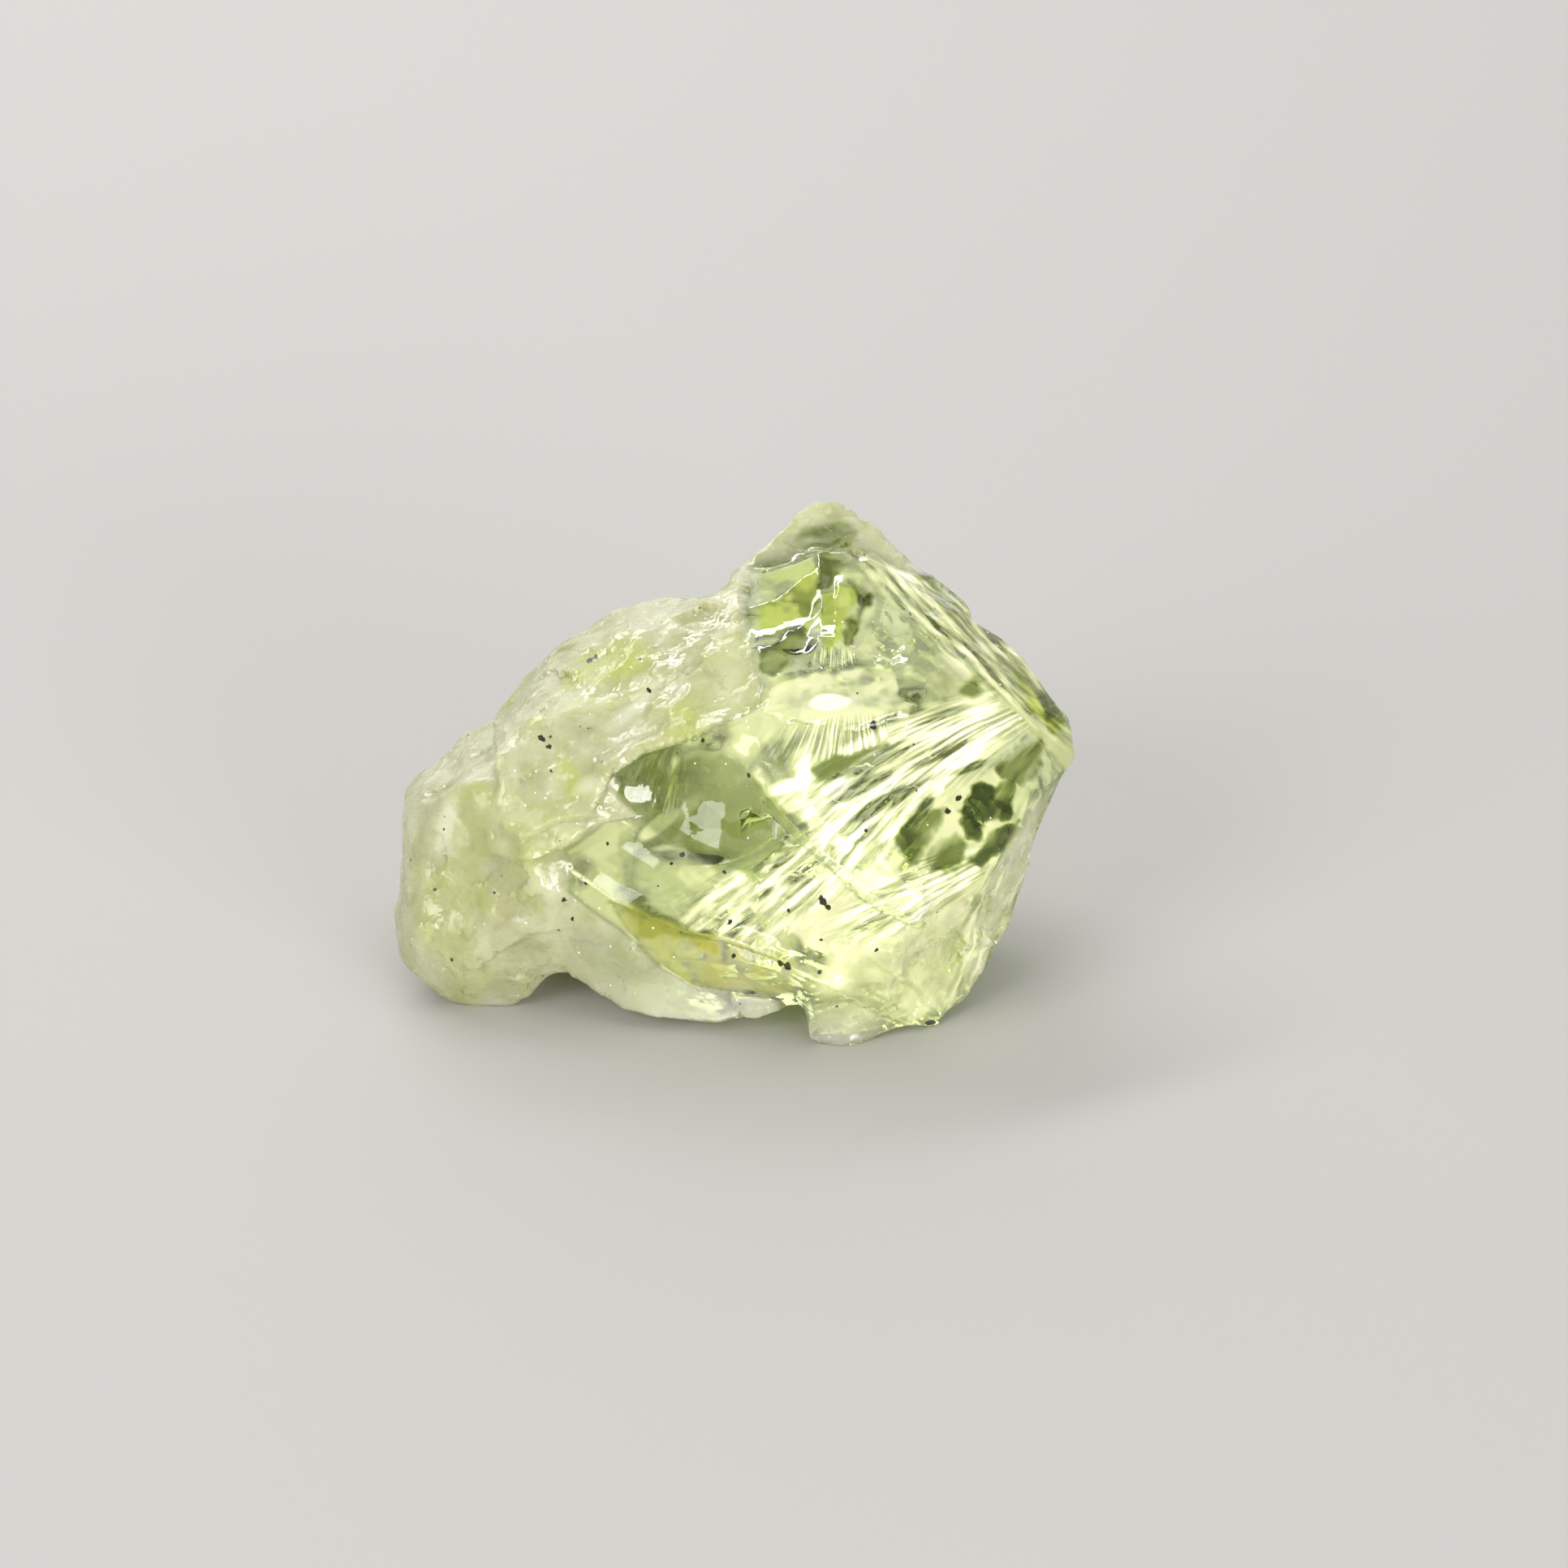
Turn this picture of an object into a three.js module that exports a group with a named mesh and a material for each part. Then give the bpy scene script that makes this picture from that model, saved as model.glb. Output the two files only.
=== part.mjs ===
// A raw lump of prasiolite, the leek-green quartz: one broken piece, with a clear, sharp-edged block on the
// right and a milky, softer-edged mass on the left. Millimetres, +Z up, resting on the plane z = 0, with the
// display side facing -Y.
import * as THREE from "three";
import { ConvexHull } from "three/addons/math/ConvexHull.js";

// Driving dimensions
const DISPLAY_TILT = THREE.MathUtils.degToRad(24); // how far above the horizon the display side faces
const BASE_DROP = 14.7; // from the lump's own centre down to the surface that it rests on
const CELL = 1.36; // spacing of the grid that the surface is drawn on
const FLAT = 0.05; // the surface this close to the resting plane lies flat on it
const WELD = 2.4; // how far the seam between two masses is filled
const CRISP = 0.06; // rounding of an edge in clear quartz
const WAXY = 0.3; // rounding of an edge in milky quartz

// The masses that the lump is made of. Each is the hull of a few corners, given as the display side shows
// them: across to the right, up, and away from the viewer, from the lump's centre.
const MASSES = [
  {
    name: "left lobe",
    edge: WAXY,
    corners: [
      [-25.5, -9.2, 0], [-25.3, -2.8, 1], [-24.2, 0.0, 2], [-21.6, 2.6, 2], [-20.9, 3.9, 2],
      [-23.2, -3.2, -6], [-23.6, -11, -6], [-19.5, -0.5, -8.8], [-16.5, -5, -11], [-13.5, -8.5, -11],
      [-23.0, -16.4, -3], [-21.2, -17.5, -2.2], [-16.4, -17.6, -2.6], [-24.8, -13.8, -2],
      [-13.2, -15.2, -5], [-18, -14, -7.5], [-22.3, -2, 9], [-22.8, -10, 9],
      [-18, -15.5, 7], [-15, -1, 12], [-14, -10, 11], [-8, -6, 0], [-8, 2, 4],
    ],
  },
  {
    name: "shoulder",
    edge: WAXY,
    corners: [
      [-20.4, 3.0, 3], [-18.8, 4.5, 2], [-15.8, 7.0, 1], [-11.5, 11.8, 0],
      [-9.5, 12.8, 0], [-5.4, 13.3, 1], [-0.5, 14.3, 1], [-17.5, 0.5, -8.5], [-16.4, -5.2, -11],
      [-15.2, -6.0, -11.6], [-12.6, -5.9, -12.0], [-9.8, -3.8, -12.6],
      [-8.7, -0.2, -13.2], [-6.4, 1.4, -13.2],
      [-0.6, 3.2, -12.8], [2.0, 6.4, -11.2], [1.4, 11.3, -6.5], [-8, 7.5, -8.5], [-12.5, 5, -8.5],
      [-14, 4, 11], [-6, 9.5, 11.5], [2, 10.5, 11.5], [-10, -6, 12], [5, 12, 3], [5, 4, 3],
    ],
  },
  {
    name: "clear block",
    edge: CRISP,
    corners: [
      [6.0, 16.7, -1], [8.2, 16.7, -1.5], [0.5, 14.4, 0.5], [8, 14.6, 8],
      [11.6, 14.8, -2.8], [14.8, 12.4, -4], [19.8, 10.1, -1], [20.3, 6.0, -6],
      [25.3, 3.0, -3], [23.7, 5.8, -0.5],
      [24.8, 1.2, -4], [22.8, -3.4, -3], [21.9, -6.4, -3], [19.9, -10.4, -3],
      [16.8, -16.9, -4.5], [14.0, -18.0, -6], [9.5, -17.0, -10.2],
      [1.6, 7.4, -10.4], [2.0, 5.0, -12], [12, 7.6, -10.2], [3.3, -2.2, -14.4], [9, -6.7, -15.6],
      [12.5, -8.7, -15.2], [18, -8, -11.5], [21.5, -3, -8.5],
      [20, 0, 9], [12, 8, 12], [4, 0, 14], [10, -12, 10], [18, -9, 8], [-4, 10, 4], [-6, -4, 4],
    ],
  },
  {
    name: "front wedge",
    edge: CRISP,
    corners: [
      [-9.0, -0.8, -11.2], [-12.9, -6.6, -9.6], [-9.2, -9.4, -10.6], [-3.6, -11.9, -11.2],
      [3.2, -13.7, -11.8], [5.4, -15.2, -11.8], [9.2, -17.1, -10.8], [11.8, -18.2, -9],
      [0.6, 3.0, -12.6], [3.4, -2.4, -14.6], [9.0, -6.9, -15.8], [12.7, -8.9, -15.2], [14, -14, -11],
      [0, 0, 4], [-8, -6, 4], [8, -12, 4], [-10, -9, -2],
    ],
  },
  {
    name: "middle lobe",
    edge: WAXY,
    corners: [
      [-12.8, -14.2, -4], [-12.4, -15.2, -5], [-10.4, -16.6, -5.5], [-8.1, -17.8, -6.2], [-4.8, -18.7, -7],
      [-1.2, -18.8, -7.2], [1.8, -18.1, -7.4], [4.6, -17.2, -7.5],
      [-15.5, -11, -7], [-12, -9, -9.4], [-5.5, -12.6, -10.6], [1, -14, -11.2], [5, -15.4, -11],
      [-8, -12, 6], [2, -14, 6], [-10, -6, 2], [6, -10, 2],
    ],
  },
  {
    name: "foot",
    edge: CRISP,
    corners: [
      [5.5, -20.3, -7.8], [7.8, -20.5, -8.2], [9.8, -20.2, -7.6], [12.0, -19.5, -6.6], [14.2, -18.3, -5.4],
      [5.2, -17.0, -9.3], [5.4, -15.6, -11.4], [9.2, -16.6, -10.8], [13, -15.5, -10],
      [6.5, -17, -4], [14, -14, -2],
    ],
  },
  {
    name: "back peak",
    edge: WAXY,
    corners: [
      [1.0, 16.5, 3.5], [3.8, 19.8, 4], [5.4, 21.1, 4.5], [7.6, 21.1, 4.5], [9.8, 19.1, 4.5],
      [13.9, 15.2, 4], [17.2, 12.3, 3], [-0.5, 14.2, 2], [15.5, 11, 1.5],
      [6, 16.5, 9], [12, 12, 9.5], [0, 11, 11], [15, 4, 11], [5, 4, 14], [5, 12, 0],
    ],
  },
  {
    name: "back mass",
    edge: WAXY,
    corners: [
      [-17.5, -4, 12], [-7, 7, 14.5], [6, 8, 15], [18.5, 1, 9.5], [15.5, -10, 9], [0, -12, 14],
      [-12, -12, 11], [-4, -4, 18], [8, -3, 17.5], [-13, 3, 12.5], [0, 0, 0], [-8, -14, 4], [12, -12, 2],
    ],
  },
];

// The scars of the large flakes that broke away on the display side: balls that bite in where it shows them,
// across and up, with their radius and how deep they bite.
const SCARS = [
  { name: "clear bowl", seen: [-2.6, -2.2], radius: 10.5, bite: 1.6 },
  { name: "lime facet", seen: [3.2, 10.8], radius: 15, bite: 0.8 },
  { name: "top facet", seen: [10.5, 10], radius: 16, bite: 0.5 },
  { name: "right face", seen: [17, -2], radius: 30, bite: 0.8 },
  { name: "lower right face", seen: [15.5, -13], radius: 14, bite: 0.9 },
  { name: "face below the front ridge", seen: [-1, -9], radius: 26, bite: 0.8 },
  { name: "face of the shoulder", seen: [-8, 5], radius: 24, bite: 0.8 },
  { name: "face of the left lobe", seen: [-20, -7.5], radius: 30, bite: 0.5 },
  { name: "middle lobe", seen: [-4, -15.8], radius: 16, bite: 0.5 },
];
const LARGEST_REACH = 31; // no part of the lump is farther than this from its centre
const IN_FRONT = -30; // farther towards the viewer than any of the lump

// Smaller flakes off the corners, and broad ones on the sides that the display side hides.
const CORNER_CHIPS = { share: 0.45, seed: 5, radius: [6, 16], depth: [0.4, 0.9] };
const FACE_FLAKES = { share: 1, seed: 11, radius: [16, 36], depth: [0.4, 0.9] };
const FACE_COUNT = 46; // places spread over the whole lump, of which only the hidden ones are used

// Turns a point given as the display side shows it into the standing lump's frame.
function standing([across, up, away]) {
  const p = new THREE.Vector3(across, away, up);
  p.applyAxisAngle(new THREE.Vector3(1, 0, 0), -DISPLAY_TILT);
  p.z += BASE_DROP;
  return p;
}

// The planes of the hull of some corners.
function planesOf(corners) {
  const hull = new ConvexHull().setFromPoints(corners.map(standing));
  return hull.faces.map((face) => ({ normal: face.normal.clone(), offset: face.constant }));
}

const masses = MASSES.map(({ edge, corners }) => ({ edge, planes: planesOf(corners) }));
const heart = new THREE.Vector3(0, 0, BASE_DROP);
const scars = [];

// The larger of several values, and the smaller of two, with the change from one to the other rounded off.
function smoothMax(values, edge) {
  const top = Math.max(...values);
  let sum = 0;
  for (const v of values) sum += Math.exp((v - top) / edge);
  return top + edge * Math.log(sum);
}

function smoothMin(a, b, edge) {
  const h = Math.max(edge - Math.abs(a - b), 0) / edge;
  return Math.min(a, b) - (h * h * edge) / 4;
}

// Distance-like field of one mass: below zero inside.
function massField(mass, p) {
  return smoothMax(mass.planes.map(({ normal, offset }) => normal.dot(p) - offset), mass.edge);
}

// Distance-like field of the whole lump, above the plane that it rests on.
function field(p) {
  const [first, ...others] = masses;
  let d = massField(first, p);
  for (const mass of others) d = smoothMin(d, massField(mass, p), WELD);
  for (const scar of scars) d = Math.max(d, scar.radius - scar.centre.distanceTo(p));
  return Math.max(d, -p.z);
}

// Seeded random numbers from 0 to 1.
function randomFrom(seed) {
  let state = seed;
  return () => {
    state = (Math.imul(state, 1664525) + 1013904223) >>> 0;
    return state / 4294967296;
  };
}

// Points spread evenly over a ball of radius 1.
function evenDirections(count) {
  const turn = Math.PI * (3 - Math.sqrt(5));
  return Array.from({ length: count }, (_, i) => {
    const z = 1 - (2 * i + 1) / count;
    const r = Math.sqrt(1 - z * z);
    return new THREE.Vector3(r * Math.cos(turn * i), r * Math.sin(turn * i), z);
  });
}

// A ball that bites in at a point of the surface, along the mean direction that the surface faces there.
function ballAt(point, radius, bite) {
  return { centre: point.clone().addScaledVector(gradient(point, 1.5), radius - bite), radius };
}

// Shallow flakes at points of the surface, each left out where its ball would also reach another part of the
// lump.
function flakes(points, { share, seed, radius, depth }) {
  const random = randomFrom(seed);
  const between = ([low, high]) => low + (high - low) * random();
  const around = evenDirections(1500);
  const balls = [];
  for (const point of points) {
    const bite = between(depth);
    const ball = ballAt(point, between(radius), bite);
    if (Math.abs(field(point)) > 1 || random() > share) continue;
    const reach = 1.2 * Math.sqrt(2 * ball.radius * bite);
    const strays = around
      .map((way) => ball.centre.clone().addScaledVector(way, ball.radius))
      .filter((p) => p.distanceTo(point) > reach && p.distanceTo(heart) < LARGEST_REACH);
    if (!strays.some((p) => field(p) < 0)) balls.push(ball);
  }
  return balls;
}

// Where the line from a point inside to a point outside leaves the lump.
function meeting(inside, outside) {
  let [near, far] = [inside, outside];
  for (let step = 0; step < 24; step++) {
    const middle = near.clone().add(far).multiplyScalar(0.5);
    if (field(middle) < 0) near = middle;
    else far = middle;
  }
  return near;
}

// The way in which the field grows fastest, which is the way out of the surface.
function gradient(p, step = 0.02) {
  const g = new THREE.Vector3();
  for (const axis of ["x", "y", "z"]) {
    const ahead = p.clone();
    const behind = p.clone();
    ahead[axis] += step;
    behind[axis] -= step;
    g[axis] = field(ahead) - field(behind);
  }
  return g.normalize();
}

const corners = MASSES.flatMap((mass) => mass.corners.map(standing));
const toViewer = standing([0, 0, -1]).sub(heart);
const hidden = evenDirections(FACE_COUNT)
  .map((way) => meeting(heart, heart.clone().addScaledVector(way, 40)))
  .filter((point) => gradient(point, 1.5).dot(toViewer) < -0.2);
const seen = SCARS.map(({ seen: [across, up], radius, bite }) =>
  ballAt(meeting(standing([across, up, 0]), standing([across, up, IN_FRONT])), radius, bite),
);
scars.push(...seen, ...flakes(corners, CORNER_CHIPS), ...flakes(hidden, FACE_FLAKES));

// Dual contouring: one vertex for each grid cell that the surface crosses, placed on the edges and corners
// of the field.
function surfaceOf(low, high, cell) {
  const size = high.clone().sub(low).divideScalar(cell).ceil();
  const [nx, ny, nz] = size.toArray();
  const index = (i, j, k) => (k * (ny + 1) + j) * (nx + 1) + i;
  const at = (i, j, k) => new THREE.Vector3(low.x + i * cell, low.y + j * cell, low.z + k * cell);
  const values = new Float64Array((nx + 1) * (ny + 1) * (nz + 1));
  for (let k = 0; k <= nz; k++)
    for (let j = 0; j <= ny; j++)
      for (let i = 0; i <= nx; i++)
        values[index(i, j, k)] = field(at(i, j, k));

  fillNarrows(values, size.toArray(), index);

  const corners = [0, 1, 2, 3, 4, 5, 6, 7].map((c) => [c & 1, (c >> 1) & 1, (c >> 2) & 1]);
  const edges = [];
  for (let a = 0; a < 8; a++)
    for (const bit of [1, 2, 4])
      if (!(a & bit)) edges.push([a, a | bit]);

  // Where an edge of the grid meets the surface, and which way the surface faces there.
  const crossings = new Map();
  function crossing(a, b) {
    const [ia, ib] = [index(...a), index(...b)];
    const key = Math.min(ia, ib) * 16777216 + Math.max(ia, ib);
    if (!crossings.has(key)) {
      const point = values[ia] < 0 ? meeting(at(...a), at(...b)) : meeting(at(...b), at(...a));
      crossings.set(key, { point, normal: gradient(point) });
    }
    return crossings.get(key);
  }

  const vertices = [];
  const vertexOf = new Map();
  for (let k = 0; k < nz; k++)
    for (let j = 0; j < ny; j++)
      for (let i = 0; i < nx; i++) {
        const met = [];
        for (const [a, b] of edges) {
          const ca = [i + corners[a][0], j + corners[a][1], k + corners[a][2]];
          const cb = [i + corners[b][0], j + corners[b][1], k + corners[b][2]];
          if (values[index(...ca)] < 0 !== values[index(...cb)] < 0) met.push(crossing(ca, cb));
        }
        if (!met.length) continue;
        vertexOf.set(index(i, j, k), vertices.length);
        vertices.push(bestPoint(met, at(i, j, k), cell));
      }

  const triangles = [];
  const around = [
    [[0, 0, 0], [0, 1, 0], [0, 1, 1], [0, 0, 1]],
    [[0, 0, 0], [0, 0, 1], [1, 0, 1], [1, 0, 0]],
    [[0, 0, 0], [1, 0, 0], [1, 1, 0], [0, 1, 0]],
  ];
  for (let k = 1; k < nz; k++)
    for (let j = 1; j < ny; j++)
      for (let i = 1; i < nx; i++)
        for (let axis = 0; axis < 3; axis++) {
          const next = [i, j, k];
          next[axis] += 1;
          const here = values[index(i, j, k)] < 0;
          if (here === values[index(...next)] < 0) continue;
          const quad = around[axis].map(([a, b, c]) => vertexOf.get(index(i - a, j - b, k - c)));
          if (!here) quad.reverse();
          triangles.push(...splitQuad(quad, vertices));
        }
  return { vertices, triangles };
}

// Fills the slits and sealed hollows that are too narrow for the grid, so that the surface never touches
// itself.
function fillNarrows(values, [nx, ny, nz], index) {
  const strides = [1, index(0, 1, 0), index(0, 0, 1)];
  const outside = (n) => values[n] >= 0;
  const inBox = (n) => n >= 0 && n < values.length;
  for (let changed = true; changed; ) {
    changed = false;
    for (let k = 0; k < nz; k++)
      for (let j = 0; j < ny; j++)
        for (let i = 0; i < nx; i++)
          for (const [s, t] of [[0, 1], [1, 2], [2, 0]]) {
            const a = index(i, j, k);
            const [b, c, d] = [a + strides[s], a + strides[t], a + strides[s] + strides[t]];
            const crossed = outside(a) === outside(d) && outside(b) === outside(c);
            if (!crossed || outside(a) === outside(b)) continue;
            const open = outside(a) ? [a, d] : [b, c];
            values[values[open[0]] < values[open[1]] ? open[0] : open[1]] = -1e-6;
            changed = true;
          }
  }
  const reached = new Uint8Array(values.length);
  const queue = [0];
  reached[0] = 1;
  while (queue.length) {
    const here = queue.pop();
    for (const way of strides.flatMap((stride) => [here + stride, here - stride])) {
      if (!inBox(way) || reached[way] || !outside(way)) continue;
      reached[way] = 1;
      queue.push(way);
    }
  }
  for (let n = 0; n < values.length; n++) if (outside(n) && !reached[n]) values[n] = -1e-6;
}

// The point of a cell that lies best on all the planes that its crossings give, held near their middle and
// in the cell.
function bestPoint(met, low, cell) {
  const middle = new THREE.Vector3();
  for (const { point } of met) middle.addScaledVector(point, 1 / met.length);
  const pull = 0.1;
  const m = new THREE.Matrix3().set(pull, 0, 0, 0, pull, 0, 0, 0, pull);
  const right = new THREE.Vector3();
  const e = m.elements;
  for (const { point, normal: n } of met) {
    const away = n.dot(point.clone().sub(middle));
    const row = n.toArray();
    for (let r = 0; r < 3; r++)
      for (let c = 0; c < 3; c++)
        e[c * 3 + r] += row[r] * row[c];
    right.addScaledVector(n, away);
  }
  const p = right.applyMatrix3(m.invert()).add(middle);
  const margin = 0.02 * cell;
  const high = low.clone().addScalar(cell - margin);
  p.clamp(low.clone().addScalar(margin), high);
  if (p.z < FLAT) p.z = 0;
  return p;
}

// Cuts a quad along the diagonal whose middle lies nearer the surface.
function splitQuad([a, b, c, d], vertices) {
  const off = (p, q) => Math.abs(field(vertices[p].clone().add(vertices[q]).multiplyScalar(0.5)));
  return off(a, c) <= off(b, d) ? [[a, b, c], [a, c, d]] : [[a, b, d], [b, c, d]];
}

const GRID_LOW = new THREE.Vector3(-29, -24, -2.5); // a box around the whole lump
const GRID_HIGH = new THREE.Vector3(29, 24, 38);
const { vertices, triangles } = surfaceOf(GRID_LOW, GRID_HIGH, CELL);
const geometry = new THREE.BufferGeometry();
geometry.setAttribute("position", new THREE.Float32BufferAttribute(vertices.flatMap((v) => v.toArray()), 3));
geometry.setIndex(triangles.flat());
geometry.computeBoundingBox();
const { min, max } = geometry.boundingBox;

const quartz = new THREE.MeshStandardMaterial({ color: 0xc3cc8a, roughness: 0.25, metalness: 0 });
const stone = new THREE.Mesh(geometry, quartz);
stone.name = "prasiolite";
stone.position.set(-(min.x + max.x) / 2, -(min.y + max.y) / 2, -min.z);

const prasiolite = new THREE.Group();
prasiolite.add(stone);
export default prasiolite;
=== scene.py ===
"""Raw prasiolite, a broken lump of pale green quartz: clear on the right, milky on the left, on a pale floor.

The solid lump of the frame is drawn again here with a fine mesh, which gets the cups, ridges, steps and pits
of the broken surface, the cracks inside the clear part, and the quartz itself. The shaping is in millimetres.
"""
import math

import bmesh
import bpy
import numpy as np
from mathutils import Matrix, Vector
from mathutils.bvhtree import BVHTree
from mathutils.kdtree import KDTree


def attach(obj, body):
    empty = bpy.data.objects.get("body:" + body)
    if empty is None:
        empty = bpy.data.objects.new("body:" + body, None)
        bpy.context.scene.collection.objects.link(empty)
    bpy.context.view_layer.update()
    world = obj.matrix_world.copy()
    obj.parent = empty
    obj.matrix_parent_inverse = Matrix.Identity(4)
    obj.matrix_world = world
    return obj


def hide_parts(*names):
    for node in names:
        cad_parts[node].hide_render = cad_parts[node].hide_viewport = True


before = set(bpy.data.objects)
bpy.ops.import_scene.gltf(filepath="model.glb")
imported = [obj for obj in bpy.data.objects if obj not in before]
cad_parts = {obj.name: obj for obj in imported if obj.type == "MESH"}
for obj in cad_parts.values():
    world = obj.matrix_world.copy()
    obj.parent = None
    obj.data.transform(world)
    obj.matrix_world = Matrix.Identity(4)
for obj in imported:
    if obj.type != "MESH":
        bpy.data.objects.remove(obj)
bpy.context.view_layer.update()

MM = 0.001

# The display view: its height above the horizon, its distance, and the middle of the lump in the frame.
DISPLAY_TILT = math.radians(24)
CAMERA_DISTANCE = 500.0
LUMP_CENTRE = np.array([0.11, 0.80, 14.7])
PIXELS_PER_MM = 16.6
CENTRE_PIXEL = (910, 953)
IMAGE_SIZE = 1932
SENSOR = 36.0
RIGHT = np.array([1.0, 0.0, 0.0])
UP = np.array([0.0, math.sin(DISPLAY_TILT), math.cos(DISPLAY_TILT)])
AWAY = np.array([0.0, math.cos(DISPLAY_TILT), -math.sin(DISPLAY_TILT)])

# The fine mesh: how wide its faces are, how it is smoothed, how near the floor a point rests on it, how far
# up the relief fades in, and the edges between faces that are left sharp. The faces are half as wide where
# they look to the display view and lie less than a margin to the left of the milk's edge.
FACE_WIDTH = 0.28
SMOOTHING_ROUNDS = 16
SMOOTHING_SHARES = (0.60, -0.62)
RESTING_HEIGHT = 0.05
RELIEF_FADE = (0.15, 0.9)
SHARP_ANGLE = math.radians(40)
FINER_FACING = 0.15
FINER_MARGIN = 0.3

# Lines of the display side, in pixels of the photograph.
MILK_EDGE = [
    (945, 640), (925, 705), (918, 760), (935, 830), (935, 875), (890, 898), (833, 915), (790, 931),
    (757, 953), (770, 985), (790, 1005), (745, 1015), (700, 1050), (700, 1100), (770, 1150), (850, 1215),
    (960, 1235), (1010, 1300),
]
FRONT_RIDGE = [
    (936, 953), (950, 981), (973, 1009), (995, 1032), (1035, 1066), (1068, 1096), (1096, 1113), (1133, 1133),
]
LEDGE = [
    (700, 1070), (760, 1112), (850, 1147), (900, 1158), (956, 1178), (984, 1197), (1026, 1217), (1057, 1234),
    (1096, 1254), (1133, 1268),
]
RIGHT_RIDGE = [(1051, 676), (1113, 721), (1147, 768), (1203, 816), (1231, 847), (1301, 911)]
RIGHT_FOOT = (1165, 1260)
TOP_RIDGE = [(1008, 681), (1015, 740), (1015, 780), (1004, 819)]
PRISM_RIDGE = [(1036, 722), (1029, 801)]
PRISM_GROOVE = [(1061, 728), (1062, 765), (1048, 790)]
SHOULDER_EDGE = [
    (640, 1035), (688, 1011), (728, 1005), (755, 952), (790, 931), (833, 915), (870, 904), (919, 891),
]

# Outlines of the display side.
PLATE = [
    (948, 878), (956, 844), (1007, 830), (1057, 823), (1102, 817), (1108, 853), (1133, 869), (1096, 889),
    (1057, 895), (1023, 893), (993, 892), (962, 883),
]
THIN_MILK = [(700, 1140), (760, 1150), (850, 1215), (970, 1235), (860, 1262), (760, 1245)]
STAIN = [
    (752, 1113), (790, 1121), (881, 1151), (961, 1177), (1010, 1217), (935, 1228), (849, 1215), (811, 1183),
    (769, 1148),
]

# Ovals of the display side: the middle pixel, the half sizes in mm, the turn in degrees and the softness.
CRUMBLY = ((1130, 1185), (8, 4.2), 20, 0.5)
PEAK_WINDOW = ((1015, 662), (2.4, 1.1), 10, 0.6)
PEAK_MILK = 0.9

# Yellow spots of the stain: as the ovals, and how yellow.
STAIN_SPOTS = {
    "ledge": ((872, 1168), (2.2, 0.7), -20, 0.7, 1),
    "below": ((890, 1197), (2.0, 1.0), -20, 0.8, 0.8),
}

# Milky patches of the clear side: the oval, the milkiness, its even and uneven shares, and the shift and size
# of the noise in the uneven one.
MILKY_PATCHES = {
    "foot": (((1045, 1262), (4.0, 2.2), 12, 0.6), 0.7, (1, 0), (0, 1.5)),
    "right edge": (((1240, 1105), (1.5, 9.0), -22, 0.5), 0.6, (0.5, 1), (60, 1.5)),
    "crumbly": (((1130, 1200), (7, 3.6), 20, 0.5), 0.3, (0.3, 1.2), (50, 1.2)),
    "right band": (((1225, 790), (9.5, 1.6), -46, 0.5), 0.3, (0.3, 1), (70, 1.5)),
}

# Steps, higher to the left of each line as it runs: its pixels, the height and how wide the raised edge is.
STEPS = {
    "ledge": (LEDGE, 0.45, 1.2),
    "shoulder": (SHOULDER_EDGE, 0.65, 1.4),
    "lobe": ([(582, 1045), (640, 1058), (664, 1055), (694, 1045), (730, 1020)], 0.40, 1.2),
    "crease": ([(613, 882), (618, 928), (623, 974), (608, 994)], 0.40, 1.4),
    "lobe foot": ([(600, 1185), (650, 1150), (720, 1140)], 0.30, 1.6),
    "shoulder fold": ([(655, 905), (700, 880), (760, 868), (830, 832), (880, 770)], 0.35, 1.4),
    "crumbly": ([(1010, 1160), (1060, 1140), (1110, 1118), (1150, 1125)], 0.30, 1.2),
    "foot": ([(1085, 1190), (1130, 1215), (1165, 1260)], 0.30, 1.2),
}

# Ridges and grooves that run along a line: its pixels, the height and the width on each side.
LINES = [
    (FRONT_RIDGE, 0.45, 0.8),
    (RIGHT_RIDGE, 0.15, 0.7),
    (TOP_RIDGE, 0.22, 0.9),
    (PRISM_RIDGE, 0.20, 0.9),
    (PRISM_GROOVE, -0.20, 0.8),
]

# The plate rises to its lower edge, between two rows of pixels.
PLATE_HEIGHT = 0.32
PLATE_ROWS = (830, 885)

# Pits: the middle pixel and the radius in mm, and how deep they are as a share of it.
PITS = {
    "loop": ((1085, 765), 1.0), "left bubble": ((1080, 802), 0.8), "right bubble": ((1099, 808), 0.7),
    "high bubble": ((1071, 712), 0.6), "bead": ((1088, 728), 0.5), "right bead": ((1117, 757), 0.5),
    "low bead": ((1108, 793), 0.5), "glint": ((1158, 771), 0.6), "ring": ((1169, 808), 1.3),
    "left dent": ((640, 1018), 0.5),
}
PIT_DEPTH = 0.18

# Cups of the break: the seed, the way from one to the next, the least and greatest radius of their curve, and
# how much they lean.
CUPS = {
    "broad": (5, 9.0, (22, 55), 0.02),
    "faceted": (6, 4.6, (9, 26), 0.10),
    "small": (7, 1.7, (4, 12), 0.10),
}
NEAR_CUPS = 5

# How much of each cup, and of a waxy roughness, the parts of the surface get, and the least and greatest
# height that it comes to in mm.
MILKY_SHARES = {"faceted": 1.1, "small": 0.9, "waxy": 0.30}
MILKY_LIMITS = (-1.0, 0.8)
CLEAR_SHARE = 0.9
CLEAR_LIMITS = (-0.8, 0.6)
CRUMBLY_SHARES = {"small": 0.8, "waxy": 0.15}

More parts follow.
